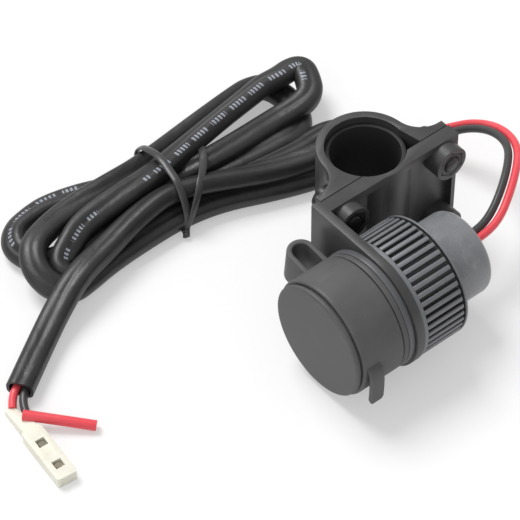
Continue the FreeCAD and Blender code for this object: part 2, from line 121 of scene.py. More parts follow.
def closed_mesh(bm, name, sharp_degrees):
    """Turn the faces outwards and give back a smooth mesh."""
    bmesh.ops.recalc_face_normals(bm, faces=bm.faces)
    mesh = bpy.data.meshes.new(name)
    bm.to_mesh(mesh)
    bm.free()
    return smooth_mesh(mesh, sharp_degrees)


# %% Skin over rings, and meshes in one
def lofted(name, rings, sharp_degrees, along=()):
    """A closed skin over rings of points. With along, it has a UV map: U round it, V from along."""
    bm = bmesh.new()
    rings = [[bm.verts.new(place) for place in ring] for ring in rings]
    uv_layer = bm.loops.layers.uv.new("UVMap") if along else None
    sides = len(rings[0])
    for k, (ring, after) in enumerate(zip(rings, rings[1:])):
        for j in range(sides):
            n = (j + 1) % sides
            face = bm.faces.new((ring[j], ring[n], after[n], after[j]))
            if along:
                for loop, u, v in zip(face.loops, (j, j + 1, j + 1, j), (k, k, k + 1, k + 1)):
                    loop[uv_layer].uv = (u / sides, along[v])
    bm.faces.new(rings[0])
    bm.faces.new(rings[-1])
    return closed_mesh(bm, name, sharp_degrees)


def joined(name, meshes):
    bm = bmesh.new()
    for mesh in meshes:
        bm.from_mesh(mesh)
        bpy.data.meshes.remove(mesh)
    mesh = bpy.data.meshes.new(name)
    bm.to_mesh(mesh)
    bm.free()
    return mesh


# %% [markdown]
# ## Helpers for materials
# A finish here is never one flat colour. Two node groups are shared: one gives a fine grain with slow
# patches, and the other gives the pale rubs that handling leaves. A group only puts out values; the
# shader itself stays in each material.

# %% Build a node group
def new_group(name, inputs, outputs, kind="ShaderNodeTree"):
    group = bpy.data.node_groups.new(name, kind)
    for label, kind in inputs:
        group.interface.new_socket(label, in_out="INPUT", socket_type="NodeSocket" + kind)
    for label, kind in outputs:
        group.interface.new_socket(label, in_out="OUTPUT", socket_type="NodeSocket" + kind)
    return group, group.nodes.new("NodeGroupInput"), group.nodes.new("NodeGroupOutput")


def noise_node(tree, detail, roughness=0.5, distortion=0.0):
    node = tree.nodes.new("ShaderNodeTexNoise")
    node.inputs["Detail"].default_value = detail
    node.inputs["Roughness"].default_value = roughness
    node.inputs["Distortion"].default_value = distortion
    return node


# %% Numbers in a tree
def map_range(tree, value, low, high, to_low=0.0, to_high=1.0):
    node = tree.nodes.new("ShaderNodeMapRange")
    for label, number in zip(("From Min", "From Max", "To Min", "To Max"), (low, high, to_low, to_high)):
        node.inputs[label].default_value = number
    tree.links.new(value, node.inputs["Value"])
    return node.outputs["Result"]


def calculate(tree, operation, first, second=None):
    node = tree.nodes.new("ShaderNodeMath")
    node.operation = operation
    for socket, value in zip(node.inputs, (first, second)):
        if isinstance(value, (int, float)):
            socket.default_value = value
        elif value is not None:
            tree.links.new(value, socket)
    return node.outputs["Value"]


# %% Fine grain with slow patches
PATCH_EDGES = (0.3, 0.7)
grain_group, start, end = new_group(
    "fine_grain",
    [("Vector", "Vector"), ("Grain Scale", "Float"), ("Patch Scale", "Float")],
    [("Height", "Float"), ("Patches", "Float")])
fine = noise_node(grain_group, detail=3)
slow = noise_node(grain_group, detail=5, roughness=0.6)
for noise, scale in ((fine, "Grain Scale"), (slow, "Patch Scale")):
    grain_group.links.new(start.outputs["Vector"], noise.inputs["Vector"])
    grain_group.links.new(start.outputs[scale], noise.inputs["Scale"])
grain_group.links.new(fine.outputs["Fac"], end.inputs["Height"])
grain_group.links.new(map_range(grain_group, slow.outputs["Fac"], *PATCH_EDGES), end.inputs["Patches"])
print("group", grain_group.name)

# %% Pale rubs from handling
RUB_EDGES = (0.56, 0.78)
rub_group, start, end = new_group(
    "handling_rubs", [("Vector", "Vector"), ("Scale", "Float"), ("Amount", "Float")], [("Mask", "Float")])
rub = noise_node(rub_group, detail=6, roughness=0.7, distortion=1.2)
rub_group.links.new(start.outputs["Vector"], rub.inputs["Vector"])
rub_group.links.new(start.outputs["Scale"], rub.inputs["Scale"])
edge = map_range(rub_group, rub.outputs["Fac"], *RUB_EDGES)
rub_group.links.new(calculate(rub_group, "MULTIPLY", edge, start.outputs["Amount"]), end.inputs["Mask"])
print("group", rub_group.name)


# %% Mix two colours by a mask
def mix_colours(tree, mask, first, second):
    node = tree.nodes.new("ShaderNodeMix")
    node.data_type = "RGBA"
    colours = [socket for socket in node.inputs if socket.type == "RGBA"]
    tree.links.new(mask, node.inputs["Factor"])
    for socket, value in zip(colours, (first, second)):
        if isinstance(value, tuple):
            socket.default_value = (*value, 1)
        else:
            tree.links.new(value, socket)
    return next(socket for socket in node.outputs if socket.type == "RGBA")


# %% Make a finish
GRAIN_DEPTH = 0.1 * MM


def finish(name, dark, light, rub_colour, rough=(0.45, 0.6), grain=900, patch=45, rubs=60, amount=0.25,
           bump=0.1, metal=0.0, specular=0.5):
    material = bpy.data.materials.new(name + "_finish")
    material.use_nodes = True
    tree = material.node_tree
    shader = tree.nodes["Principled BSDF"]
    place = tree.nodes.new("ShaderNodeTexCoord").outputs["Object"]
    surface = tree.nodes.new("ShaderNodeGroup")
    surface.node_tree = grain_group
    surface.inputs["Grain Scale"].default_value = grain
    surface.inputs["Patch Scale"].default_value = patch
    worn = tree.nodes.new("ShaderNodeGroup")
    worn.node_tree = rub_group
    worn.inputs["Scale"].default_value = rubs
    worn.inputs["Amount"].default_value = amount
    link = tree.links.new
    for group in (surface, worn):
        link(place, group.inputs["Vector"])
    base = mix_colours(tree, surface.outputs["Patches"], dark, light)
    colour = mix_colours(tree, worn.outputs["Mask"], base, rub_colour)
    link(colour, shader.inputs["Base Color"])
    link(map_range(tree, surface.outputs["Patches"], 0, 1, *rough), shader.inputs["Roughness"])
    relief = tree.nodes.new("ShaderNodeBump")
    relief.inputs["Strength"].default_value = bump
    relief.inputs["Distance"].default_value = GRAIN_DEPTH
    link(surface.outputs["Height"], relief.inputs["Height"])
    link(relief.outputs["Normal"], shader.inputs["Normal"])
    shader.inputs["Metallic"].default_value = metal
    shader.inputs["Specular IOR Level"].default_value = specular
    return material


# %% Reach into a finish
def opened(material):
    """The tree of a finish, its shader, and what feeds the shader's colour."""
    tree = material.node_tree
    shader = tree.nodes["Principled BSDF"]
    return tree, shader, shader.inputs["Base Color"].links[0].from_socket


def coordinates(tree, kind):
    parts = tree.nodes.new("ShaderNodeSeparateXYZ")
    tree.links.new(tree.nodes.new("ShaderNodeTexCoord").outputs[kind], parts.inputs["Vector"])
    return parts.outputs


# %% Grey tones
def grey(value, tint=(1, 1, 1)):
    return tuple(value * share for share in tint)


def greys(dark, light, rub, tint=(1, 1, 1)):
    return [grey(value, tint) for value in (dark, light, rub)]


# %% [markdown]
# ## The finishes of this object
# Each finish is a dark and a light tone that drift into each other, a rub colour, and a range of
# roughness. The mouldings are satin, the rubber is matt, the sheaths are smooth, and metal is bright.

# %% Mouldings and rubber
COOL = (0.96, 0.98, 1.04)
SATIN = (0.34, 0.48)
bracket_plastic = finish("bracket_plastic", *greys(0.038, 0.054, 0.1), (0.32, 0.48))
socket_plastic = finish("socket_plastic", *greys(0.085, 0.108, 0.17, COOL), SATIN)
cover_plastic = finish("cover_plastic", grey(0.17, COOL), grey(0.22, COOL), grey(0.45), (0.18, 0.34),
                       patch=90, rubs=110, amount=0.6, bump=0.06)
cap_rubber = finish("cap_rubber", *greys(0.06, 0.1, 0.14), (0.4, 0.64), grain=1600, patch=34, amount=0.45,
                    bump=0.12, specular=0.4)
liner_rubber = finish("liner_rubber", *greys(0.012, 0.02, 0.05), (0.6, 0.8), grain=1400)
print(len(bpy.data.materials), "finishes so far")

# %% Metal and the inside
WARM = (1.02, 1.0, 0.97)
fastener_steel = finish("fastener_steel", *greys(0.03, 0.05, 0.2), (0.25, 0.42), rubs=200, metal=0.7)
shell_steel = finish("shell_steel", *greys(0.55, 0.68, 0.8), (0.18, 0.3), metal=1.0, bump=0.02)
capacitor_can = finish("capacitor_can", *greys(0.5, 0.62, 0.75), (0.25, 0.4), metal=1.0, bump=0.03)
contact_gold = finish("contact_gold", (0.62, 0.42, 0.14), (0.78, 0.56, 0.22), (0.85, 0.7, 0.4), (0.2, 0.35),
                      rubs=300, metal=1.0, bump=0.02)
# the connector's contacts: a dull metal of their own, darkened further as painted shade from the slots they
# sit in
contact_dull_and_shade = finish("contact_dull_and_shade", (0.1, 0.09, 0.07), (0.2, 0.17, 0.12), (0.4, 0.35, 0.25), (0.35, 0.5),
                      rubs=300, metal=0.6, bump=0.02)
tongue_plastic = finish("tongue_plastic", grey(0.68, WARM), grey(0.76, WARM), grey(0.8), (0.4, 0.5))
board_green = finish("board_green", (0.012, 0.09, 0.035), (0.02, 0.14, 0.055), (0.06, 0.2, 0.1), (0.25, 0.4))
component_dark = finish("component_dark", *greys(0.025, 0.04, 0.08), (0.5, 0.65))
print(len(bpy.data.materials), "finishes so far")

# %% Sheaths, tie and connector
# the pale rub colour of the red wire is partly wear and partly painted sheen along the wire
wire_red = finish("wire_red", (0.76, 0.055, 0.075), (0.84, 0.09, 0.11), (0.92, 0.3, 0.32), (0.3, 0.42),
                  bump=0.04)
wire_black = finish("wire_black", *greys(0.04, 0.055, 0.1), (0.3, 0.42), bump=0.04)
tie_black = finish("tie_black", *greys(0.035, 0.055, 0.11), (0.3, 0.45), grain=1500)
connector_cream = finish("connector_cream", (0.72, 0.7, 0.58), (0.82, 0.8, 0.7), (0.4, 0.36, 0.26),
                         (0.4, 0.55), rubs=260, amount=0.5)
print(len(bpy.data.materials), "finishes so far")

# %% [markdown]
# ## The cords
# Two thin wires leave the socket's rear, run round behind the clamp and go into the sleeve. The sleeve
# is folded into a loose hank and ends at a flat connector. Each route is a NURBS spline with a few
# control points, and the tube is built on points read from that spline.

# %% Points along a route
def route_line(points, steps):
    curve = bpy.data.curves.new("route", "CURVE")
    curve.dimensions = "3D"
    spline = curve.splines.new("NURBS")
    spline.points.add(len(points) - 1)
    for point, place in zip(spline.points, points):
        point.co = (*(x * MM for x in place), 1)
    spline.order_u = 3
    spline.use_endpoint_u = True
    spline.resolution_u = steps
    holder = bpy.data.objects.new("route", curve)
    scene.collection.objects.link(holder)
    mesh = bpy.data.meshes.new_from_object(holder)
    line = [v.co.copy() for v in mesh.vertices]
    bpy.data.meshes.remove(mesh)
    bpy.data.objects.remove(holder)
    bpy.data.curves.remove(curve)
    return line


def length_of(line):
    return sum((b - a).length for a, b in zip(line, line[1:]))


def direction_at(line, k):
    return (line[min(k + 1, len(line) - 1)] - line[max(k - 1, 0)]).normalized()


# %% A tube round a line
LIP = 0.5 * MM
LIP_SHARE = 0.78
MOUTH_SHARE = 0.74
TUBE_SHARP = 60


def tube_mesh(name, line, radius, sides, hollow=0.0):
    """radius(angle, along) gives the wall; hollow makes the far end an open mouth this deep."""
    stations = []
    travelled = 0.0
    for k, point in enumerate(line):
        if k:
            travelled += (point - line[k - 1]).length
        ahead = direction_at(line, k)
        side = ahead.cross(UP).normalized()
        stations.append((point, side, side.cross(ahead), travelled, 1.0))
    if hollow:
        point, side, top, travelled, _ = stations[-1]
        stations.append((point, side, top, travelled + LIP, LIP_SHARE))
        stations.append((point - ahead * hollow, side, top, travelled + LIP + hollow, MOUTH_SHARE))
    rings = []
    for point, side, top, travelled, share in stations:
        ring = []
        for j in range(sides):
            angle = 2 * math.pi * j / sides
            reach = share * radius(angle, travelled)
            ring.append(point + (side * math.sin(angle) - top * math.cos(angle)) * reach)
        rings.append(ring)
    return lofted(name, rings, TUBE_SHARP, [station[3] for station in stations])


# %% The red and the black wire
RED_ROUTE = [
    (37.9, 9.2, 22.0), (37.9, 16.2, 22.0), (36.2, 23.8, 22.8), (31.0, 32.8, 24.2), (24.6, 41.5, 24.6),
    (18.6, 47.5, 24.0), (11.2, 50.7, 22.4), (3.2, 51.4, 19.8), (-4.5, 49.4, 16.2), (-10.2, 46.2, 12.0),
    (-16.0, 41.6, 8.0), (-21.2, 36.4, 5.0), (-25.6, 30.2, 4.0)]
BLACK_ROUTE = [
    (35.1, 9.2, 22.0), (35.1, 15.6, 22.0), (33.3, 22.6, 22.8), (28.4, 31.4, 24.2), (22.4, 39.6, 24.6),
    (16.9, 45.1, 24.0), (10.5, 47.9, 22.4), (3.5, 48.6, 19.8), (-3.4, 46.8, 16.2), (-8.5, 43.9, 12.0),
    (-13.9, 39.7, 8.0), (-18.9, 34.7, 5.0), (-23.2, 28.6, 4.0)]
WIRE_R = 1.3 * MM
WIRE_STEPS = 8
WIRE_SIDES = 16
for name, route, material, slot in (("red_wire", RED_ROUTE, wire_red, "wire_red"),
                                    ("black_wire", BLACK_ROUTE, wire_black, "wire_black")):
    line = route_line(route, WIRE_STEPS)
    mesh = tube_mesh(name + "_sheath", line, lambda angle, along: WIRE_R, WIRE_SIDES)
    wire = add_piece(name + "_sheath", mesh, material, stands_for=(name,))
    print(name, "is", round(length_of(line), 4), "m long")

# %% [markdown]
# ## The hank
# Seven strands, A to G, lie side by side and on each other, squeezed together at the tie and fanned out
# at both ends. Each is a few stations along the hank, and the loops join them in the order of folding.

# %% The sleeve's strands and loops
STATIONS = (6, -10, -26, -41, -56, -70)
STRANDS = {
    "A": ((-70, 5.5), (-68.2, 5.5), (-66.1, 5.5), (-63, 7), (-62.3, 8), (-61.8, 8)),
    "B": ((-64.2, 10), (-61.6, 10), (-58.4, 10.2), (-54.6, 11), (-53.8, 11), (-53, 10)),
    "C": ((-52, 7.5), (-51.4, 7.5), (-51.4, 7.5), (-58.2, 4.2), (-66.6, 4), (-71, 4)),
    "D": ((-45, 5), (-46.2, 4.5), (-48.7, 3.9), (-52.4, 4.2), (-52.5, 3.7), (-51.5, 3.7)),
    "E": ((-39, 4.5), (-41.6, 4.2), (-44.5, 4), (-47, 4.2), (-46, 4.5), (-43.6, 4.5)),
    "F": ((-29.7, 9.3), (-34.2, 8.8), (-41, 9.8), (-46, 11), (-44.6, 10), (-41, 9)),
    "G": ((-26, 3.7), (-31.3, 3.7), (-38.4, 3.7), (-41.2, 4), (-41, 3.7), (-40, 3.7)),
}
LOOPS = {
    "lead": ((-24.4, 29.4, 3.9), (-27, 24, 3.6), (-26.2, 15, 3.7)),
    "L1": ((-50, -77, 3.6), (-51, -85, 3.6), (-56.5, -88.5, 3.6), (-63.5, -89.6, 3.6), (-69.2, -85, 3.6),
           (-70.8, -77.5, 3.7)),
    "L2": ((-38, -80, 3.8), (-37, -86.5, 4.4), (-41.2, -91.4, 6), (-48.4, -92, 8.2), (-55.4, -88, 10),
           (-59.2, -80, 9)),
    "L3": ((-49.4, -77.5, 9.2), (-46, -84, 7.4), (-42, -83.5, 5.6), (-42, -76.5, 4.6)),
    "R1": ((-51.6, 12.5, 8.2), (-51.4, 18.5, 9), (-53.2, 23, 9.6), (-57.6, 25.6, 10.2), (-63.4, 28, 10.4),
           (-65.2, 25, 10.4), (-64.8, 19, 10.2), (-65.5, 13, 10)),
    "R2": ((-71, 11, 4.5), (-69.5, 17, 3.9), (-61, 19, 3.7), (-52, 17, 3.7), (-45.5, 12, 4.2)),
    "R3": ((-39.8, 13, 4.4), (-38.8, 19, 5.2), (-34.5, 21.6, 7.2), (-30, 19, 9), (-28.6, 12.5, 9.4)),
    "tail": ((-37.0, -84.1, 9.6), (-32.8, -94.1, 6.4), (-27.3, -104.2, 3.7), (-15.4, -121.5, 3.7)),
}
print(len(STRANDS), "strands and", len(LOOPS), "loops and ends")

# %% One route in the order of folding
LYING_Z = 4.0
FOLDING = ("lead", "G", "L2", "A", "R2", "D", "L1", "C", "R1", "B", "L3", "E", "R3", "F", "tail")
sleeve_route = []
leftwards = True
for part in FOLDING:
    if part in LOOPS:
        sleeve_route += LOOPS[part]
    else:
        strand = [(x, y, z) for y, (x, z) in zip(STATIONS, STRANDS[part])]
        sleeve_route += strand if leftwards else strand[::-1]
        leftwards = not leftwards
sleeve_route = [(x, y, max(z, LYING_Z)) for x, y, z in sleeve_route]
print("sleeve route has", len(sleeve_route), "points")

# %% [markdown]
# ## The sleeve
# The sheath is soft and shrinks round its two wires, so its section is a flattened, squarish oval with a
# shallow valley on both wide faces, and it rolls from side to side on its way. The radius is a function
# of the angle and of the way along the sleeve.

# %% The sleeve's section
SLEEVE_HALF_W = 4.3 * MM
SLEEVE_HALF_H = 3.1 * MM
SQUARENESS = 3.0
VALLEY = 0.28 * MM
VALLEY_WIDTH = 0.3
ROLLS = ((0.4, 0.047, 0.0), (0.25, 0.0193, 1.0))


def sleeve_wall(angle, along):
    roll = sum(amount * math.sin(along / wave + phase) for amount, wave, phase in ROLLS)
    turned = angle - roll
    wide = abs(math.sin(turned)) / SLEEVE_HALF_W
    tall = abs(math.cos(turned)) / SLEEVE_HALF_H
    off = math.remainder(turned, math.pi)
    valley = VALLEY * math.exp(-(off / VALLEY_WIDTH) ** 2)
    return (wide ** SQUARENESS + tall ** SQUARENESS) ** (-1 / SQUARENESS) - valley


# %% The sleeve's line
SLEEVE_STEPS = 7
sleeve_line = route_line(sleeve_route, SLEEVE_STEPS)

# %% [markdown]
# ## The sleeve's finish
# Short pale dashes run along parts of the sheath. The tube's own UV map runs round it (U) and along it in
# metres (V), so the dashes stay on it wherever it turns. Folding leaves soft creases: a noise stretched
# over the same map gives them, as a second bump under the grain.

# %% Dashes in groups
DASH_PITCH = 1.45 * MM
DASH_SHARE = 0.55
GROUP_PITCH = 9.3 * MM
GROUP_SHARE = 0.74
STRIPE_AT = 0.57
STRIPE_EDGES = (0.03, 0.042)
sleeve_black = finish("sleeve_black", *greys(0.013, 0.026, 0.06), SATIN, grain=500, patch=60, bump=0.08)
tree, shader, plain = opened(sleeve_black)
round_it, along = coordinates(tree, "UV")[:2]


def repeat(value, pitch, share):
    """1 over the first share of each pitch, and 0 over the rest."""
    phase = calculate(tree, "FRACT", calculate(tree, "DIVIDE", value, pitch))
    return calculate(tree, "LESS_THAN", phase, share)


off = calculate(tree, "ABSOLUTE", calculate(tree, "SUBTRACT", round_it, STRIPE_AT))
stripe = map_range(tree, off, *STRIPE_EDGES, 1, 0)
groups = repeat(along, GROUP_PITCH, GROUP_SHARE)
dashes = calculate(tree, "MULTIPLY", repeat(along, DASH_PITCH, DASH_SHARE), groups)
print("dashes every", DASH_PITCH, "m")

# %% Where the dashes show
DASHED = (((-54, 27, 9.9), (-54.4, -46, 11)), ((-60, -89, 4), (-68, -60, 4)),
          ((-53.4, -64, 10.6), (-46.6, -84, 7.4)))
DASH_TONE = (0.38, 0.4, 0.47)
DASH_STRENGTH = 0.7


def way_to(place):
    """How far along the sleeve its nearest point to a place is."""
    target = Vector(place) * MM
    nearest = min(range(len(sleeve_line)), key=lambda k: (sleeve_line[k] - target).length)
    return length_of(sleeve_line[:nearest + 1])


shown = 0.0
for first, last in DASHED:
    window = calculate(tree, "MULTIPLY", calculate(tree, "GREATER_THAN", along, way_to(first)),
                       calculate(tree, "LESS_THAN", along, way_to(last)))
    shown = calculate(tree, "ADD", shown, window)
pale = calculate(tree, "MULTIPLY", calculate(tree, "MULTIPLY", dashes, stripe), shown)
faded = calculate(tree, "MULTIPLY", pale, DASH_STRENGTH)
tree.links.new(mix_colours(tree, faded, plain, DASH_TONE), shader.inputs["Base Color"])
print("dashes on", len(DASHED), "stretches")

# %% Soft folds in the sheath
FOLDS_ROUND = 5.0
FOLDS_ALONG = 110.0
FOLD_STRENGTH = 0.5
FOLD_DEPTH = 0.6 * MM
stretch = tree.nodes.new("ShaderNodeCombineXYZ")
tree.links.new(calculate(tree, "MULTIPLY", round_it, FOLDS_ROUND), stretch.inputs["X"])
tree.links.new(calculate(tree, "MULTIPLY", along, FOLDS_ALONG), stretch.inputs["Y"])
folds = noise_node(tree, detail=4, distortion=0.6)
folds.inputs["Scale"].default_value = 1.0
tree.links.new(stretch.outputs["Vector"], folds.inputs["Vector"])
soft = tree.nodes.new("ShaderNodeBump")
soft.inputs["Strength"].default_value = FOLD_STRENGTH
soft.inputs["Distance"].default_value = FOLD_DEPTH
tree.links.new(folds.outputs["Fac"], soft.inputs["Height"])
grain = shader.inputs["Normal"].links[0].from_node
tree.links.new(soft.outputs["Normal"], grain.inputs["Normal"])
print("folds under the grain")

# %% The sleeve's tube
SLEEVE_SIDES = 40
MOUTH_DEPTH = 9 * MM
mesh = tube_mesh("lead_sleeve", sleeve_line, sleeve_wall, SLEEVE_SIDES, hollow=MOUTH_DEPTH)
sleeve = add_piece("lead_sleeve", mesh, sleeve_black,
                   stands_for=("sleeve_lead", "sleeve_hank", "sleeve_tail"))

# %% [markdown]
# ## Turned pieces
# The socket, its nut and its cap are all turned shapes. One function spins an eased profile about the
# socket's axis or a screw's. A radius may also be a rule of the angle, which gives hexagons.

# %% Ease a profile's corners
MOST_OF_A_SIDE = 0.45


def eased(profile, steps=4):
    """Replace each (radius, along, ease) corner by a short curve; ease 0 keeps it sharp."""
    out = []
    count = len(profile)
    for k, (r, a, ease) in enumerate(profile):
        if not ease:
            out.append((r, a))
            continue
        here = Vector((r, a))
        before = Vector(profile[k - 1][:2]) - here
        after = Vector(profile[(k + 1) % count][:2]) - here
        first = here + before.normalized() * min(ease, MOST_OF_A_SIDE * before.length)
        last = here + after.normalized() * min(ease, MOST_OF_A_SIDE * after.length)
        for j in range(steps + 1):
            t = j / steps
            out.append(tuple(first * (1 - t) ** 2 + here * 2 * t * (1 - t) + last * t * t))
    return out


# %% Spin a profile
SOCKET_X = 37.0
SOCKET_Z = 20.4
TURNED_SHARP = 35


def turned_mesh(name, profile, segments=96, axis="Y", centre=(SOCKET_X, SOCKET_Z), closed=True):
    bm = bmesh.new()
    rings = []
    for radius, along in profile:
        ring = []
        for j in range(segments):
            angle = 2 * math.pi * j / segments
            r = radius(angle) if callable(radius) else radius
            across, up = centre[0] + r * math.sin(angle), centre[1] + r * math.cos(angle)
            place = (across, along, up) if axis == "Y" else (along, across, up)
            ring.append(bm.verts.new(Vector(place) * MM))
            if r == 0:
                break
        rings.append(ring)
    for ring, after in zip(rings, rings[1:] + rings[:1] if closed else rings[1:]):
        for j in range(segments):
            n = (j + 1) % segments
            corners = [loop[i % len(loop)] for loop, i in ((ring, j), (ring, n), (after, n), (after, j))]
            corners = list(dict.fromkeys(corners))
            if len(corners) > 2:
                bm.faces.new(corners)
    return closed_mesh(bm, name, TURNED_SHARP)


# %% [markdown]
# ## Softened copies of the solids
# A solid from CAD has knife edges, and a moulding has none. A copy of the solid's mesh is merged, its
# flat triangles are joined, and a narrow bevel along its edges catches the light.

# %% A plain mesh from an object
def evaluated_mesh(holder):
    return bpy.data.meshes.new_from_object(holder.evaluated_get(bpy.context.evaluated_depsgraph_get()))


# %% Soften a solid's edges
MERGE_WITHIN = 1e-6
FLAT_WITHIN = math.radians(0.6)
BEVEL_FROM = math.radians(28)
BEVEL_SEGMENTS = 3
SOFT_SHARP = 30


def softened(node, width):
    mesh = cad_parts[node].data.copy()
    bm = bmesh.new()
    bm.from_mesh(mesh)
    bmesh.ops.remove_doubles(bm, verts=bm.verts, dist=MERGE_WITHIN)
    bmesh.ops.dissolve_limit(bm, angle_limit=FLAT_WITHIN, verts=bm.verts, edges=bm.edges)
    bm.to_mesh(mesh)
    bm.free()
    holder = bpy.data.objects.new("holder", mesh)
    scene.collection.objects.link(holder)
    bevel = holder.modifiers.new("bevel", "BEVEL")
    bevel.width = width * MM
    bevel.segments = BEVEL_SEGMENTS
    bevel.limit_method = "ANGLE"
    bevel.angle_limit = BEVEL_FROM
    bevel.use_clamp_overlap = True
    result = evaluated_mesh(holder)
    bpy.data.objects.remove(holder)
    bpy.data.meshes.remove(mesh)
    result.name = node + "_soft"
    for name in ("custom_normal", "sharp_edge"):
        if name in result.attributes:
            result.attributes.remove(result.attributes[name])
    return smooth_mesh(result, SOFT_SHARP)


# %% Clamp, cover and connector mouldings
for node, width, material, slot in (
        ("bracket", 0.35, bracket_plastic, "bracket_plastic"),
        ("clamp_strap", 0.35, bracket_plastic, "bracket_plastic"),
        ("reducer_liner", 0.3, liner_rubber, "liner_rubber"),
        ("rear_cover", 0.25, cover_plastic, "cover_plastic"),
        ("wire_grommet", 0.5, liner_rubber, "liner_rubber"),
        ("connector", 0.3, connector_cream, "connector_cream")):
    add_piece(node + "_moulding", softened(node, width), material, stands_for=(node,))

# %% [markdown]
# ## The ring nut
# Forty-six ribs stand round the nut. One rib is modelled, and Geometry Nodes set it out on a circle, turn
# each copy to face outwards and join them to the turned core, with the count and centre as inputs.

# %% One rib
RIB_COUNT = 46
NUT_R = 20.1
FLOOR_R = 18.9
RIB_W = 1.45
RIB_Y = (-23.95, -9.8)
RIB_ROOT = 0.5
RIB_EASE = 0.28
RIB_EDGE_STEPS = 2
RIB_SHARP = 50
low = (-RIB_W / 2, RIB_Y[0], FLOOR_R - RIB_ROOT)
high = (RIB_W / 2, RIB_Y[1], NUT_R)
bm = bmesh.new()
bmesh.ops.create_cube(bm, size=1)
for v in bm.verts:
    v.co = Vector((low[k] if v.co[k] < 0 else high[k]) * MM for k in range(3))
bmesh.ops.bevel(bm, geom=bm.edges, offset=RIB_EASE * MM, segments=RIB_EDGE_STEPS, affect="EDGES",
                profile=0.5, clamp_overlap=True)
rib_mesh = closed_mesh(bm, "rib", RIB_SHARP)
rib = bpy.data.objects.new("rib", rib_mesh)
print("rib", len(rib_mesh.polygons), "faces")


# %% Geometry Nodes helpers
def new_tree(name, inputs):
    inputs = [("Geometry", "Geometry")] + inputs + [("Material", "Material")]
    return new_group(name, inputs, [("Geometry", "Geometry")], "GeometryNodeTree")


def end_tree(tree, start, end, geometry):
    """Make every copy real and set its material, because the export drops instances."""
    whole = tree.nodes.new("GeometryNodeRealizeInstances")
    paint = tree.nodes.new("GeometryNodeSetMaterial")
    tree.links.new(geometry, whole.inputs["Geometry"])
    tree.links.new(whole.outputs["Geometry"], paint.inputs["Geometry"])
    tree.links.new(start.outputs["Material"], paint.inputs["Material"])
    tree.links.new(paint.outputs["Geometry"], end.inputs["Geometry"])
    print("tree", tree.name)


def run_nodes(name, mesh, tree, values):
    """Put the tree on a mesh, set its inputs by identifier and give back the plain result."""
    holder = bpy.data.objects.new(name, mesh)
    scene.collection.objects.link(holder)
    modifier = holder.modifiers.new("nodes", "NODES")
    modifier.node_group = tree
    for item in tree.interface.items_tree:
        if item.in_out == "INPUT" and item.name in values:
            modifier[item.identifier] = values[item.name]
    result = evaluated_mesh(holder)
    bpy.data.objects.remove(holder)
    bpy.data.meshes.remove(mesh)
    result.name = name
    return result


# %% Copies of one piece
def copies_on(tree, start, points):
    source = tree.nodes.new("GeometryNodeObjectInfo")
    tree.links.new(start.outputs["Piece"], source.inputs["Object"])
    copies = tree.nodes.new("GeometryNodeInstanceOnPoints")
    tree.links.new(points, copies.inputs["Points"])
    tree.links.new(source.outputs["Geometry"], copies.inputs["Instance"])
    return copies


# %% Ribs on a circle
tree, start, end = new_tree(
    "ribs_on_a_circle", [("Piece", "Object"), ("Count", "Int"), ("Centre", "Vector")])
link = tree.links.new
points = tree.nodes.new("GeometryNodePoints")
link(start.outputs["Count"], points.inputs["Count"])
index = tree.nodes.new("GeometryNodeInputIndex").outputs["Index"]
share = calculate(tree, "DIVIDE", index, start.outputs["Count"])
facing = tree.nodes.new("ShaderNodeCombineXYZ")
link(calculate(tree, "MULTIPLY", share, 2 * math.pi), facing.inputs["Y"])
copies = copies_on(tree, start, points.outputs["Points"])
link(facing.outputs["Vector"], copies.inputs["Rotation"])
move = tree.nodes.new("GeometryNodeTransform")
link(copies.outputs["Instances"], move.inputs["Geometry"])
link(start.outputs["Centre"], move.inputs["Translation"])
both = tree.nodes.new("GeometryNodeJoinGeometry")
link(start.outputs["Geometry"], both.inputs["Geometry"])
link(move.outputs["Geometry"], both.inputs["Geometry"])
end_tree(tree, start, end, both.outputs["Geometry"])
ribs_tree = tree

# %% [markdown]
# ## The nut's finish
# The nut is a lighter copy of the socket's plastic, a painted highlight that makes its rib tops look lit.
# Little light gets into the grooves, and a painted shade darkens them: the distance from the socket's axis
# is worked out in the material, and it fades the colour from the painted shade in the grooves up to the
# ribs.

# %% Painted shade in the grooves, painted highlight on the ribs
DARK_R = 19.3
LIGHT_R = 20.0
# painted shade: the colour of the grooves' floor
GROOVE_PAINTED_SHADE = grey(0.03, COOL)
# painted highlight: lighter than the socket's own plastic, so the rib tops look lit
nut_plastic_painted_light = finish("nut_plastic_painted_light", *greys(0.145, 0.19, 0.26, COOL), SATIN)
tree, shader, plain = opened(nut_plastic_painted_light)
place = coordinates(tree, "Object")
squares = []
for label, centre in (("X", SOCKET_X), ("Z", SOCKET_Z)):
    off = calculate(tree, "SUBTRACT", place[label], centre * MM)
    squares.append(calculate(tree, "MULTIPLY", off, off))
radius = calculate(tree, "SQRT", calculate(tree, "ADD", *squares))
# painted shade in the grooves, fading out up to the rib tops
groove_shade_fade = map_range(tree, radius, DARK_R * MM, LIGHT_R * MM)
tree.links.new(mix_colours(tree, groove_shade_fade, GROOVE_PAINTED_SHADE, plain), shader.inputs["Base Color"])
print("grooves dark inside", DARK_R, "mm")

